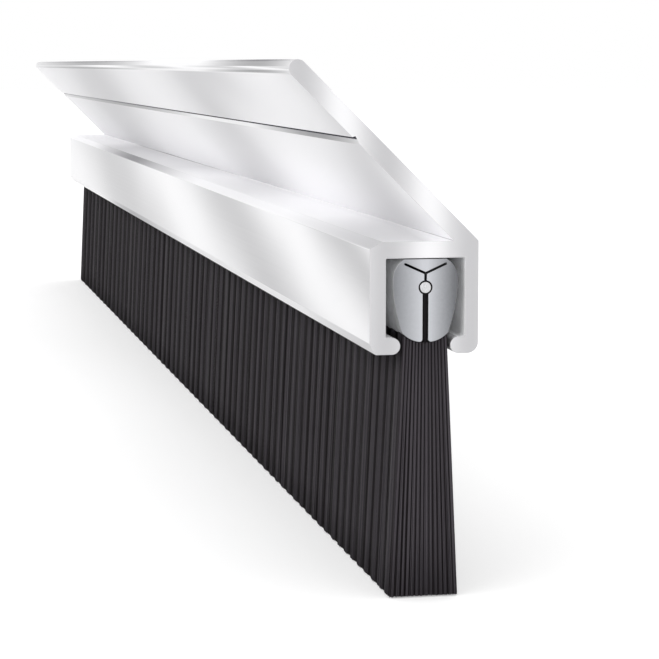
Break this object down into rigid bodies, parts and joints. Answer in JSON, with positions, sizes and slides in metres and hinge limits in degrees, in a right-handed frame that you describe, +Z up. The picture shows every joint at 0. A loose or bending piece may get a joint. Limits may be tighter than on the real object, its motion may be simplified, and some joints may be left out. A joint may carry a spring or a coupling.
{
  "type": "brush seal strip",
  "caption": "Long brush seal strip: an aluminium channel with a 45 degree fixing flange holds a slide-in metal-backed brush of black bristles.",
  "frame": {"origin": "centre of the fixing face, the flange's flat outer face", "axes": "+X along the strip, +Z up away from the bristle tips, +Y across the strip to the flange's root side; the flange leans towards -Y"},
  "size_m": [1, 0.0556, 0.1561],
  "materials": {
    "carrier_aluminium": "satin",
    "backing_metal": "satin",
    "wire_steel": "satin",
    "bristle_black": "matte"
  },
  "bodies": {
    "carrier_body": {"carrier": "carrier_aluminium"},
    "brush_insert": {"backing": "backing_metal", "core_wire": "wire_steel", "bristles": "bristle_black"}
  },
  "joints": [
    {"name": "brush_slide", "type": "slide", "parent": "carrier_body", "child": "brush_insert", "axis": [1, 0, 0], "range_m": [-1, 1]}
  ]
}
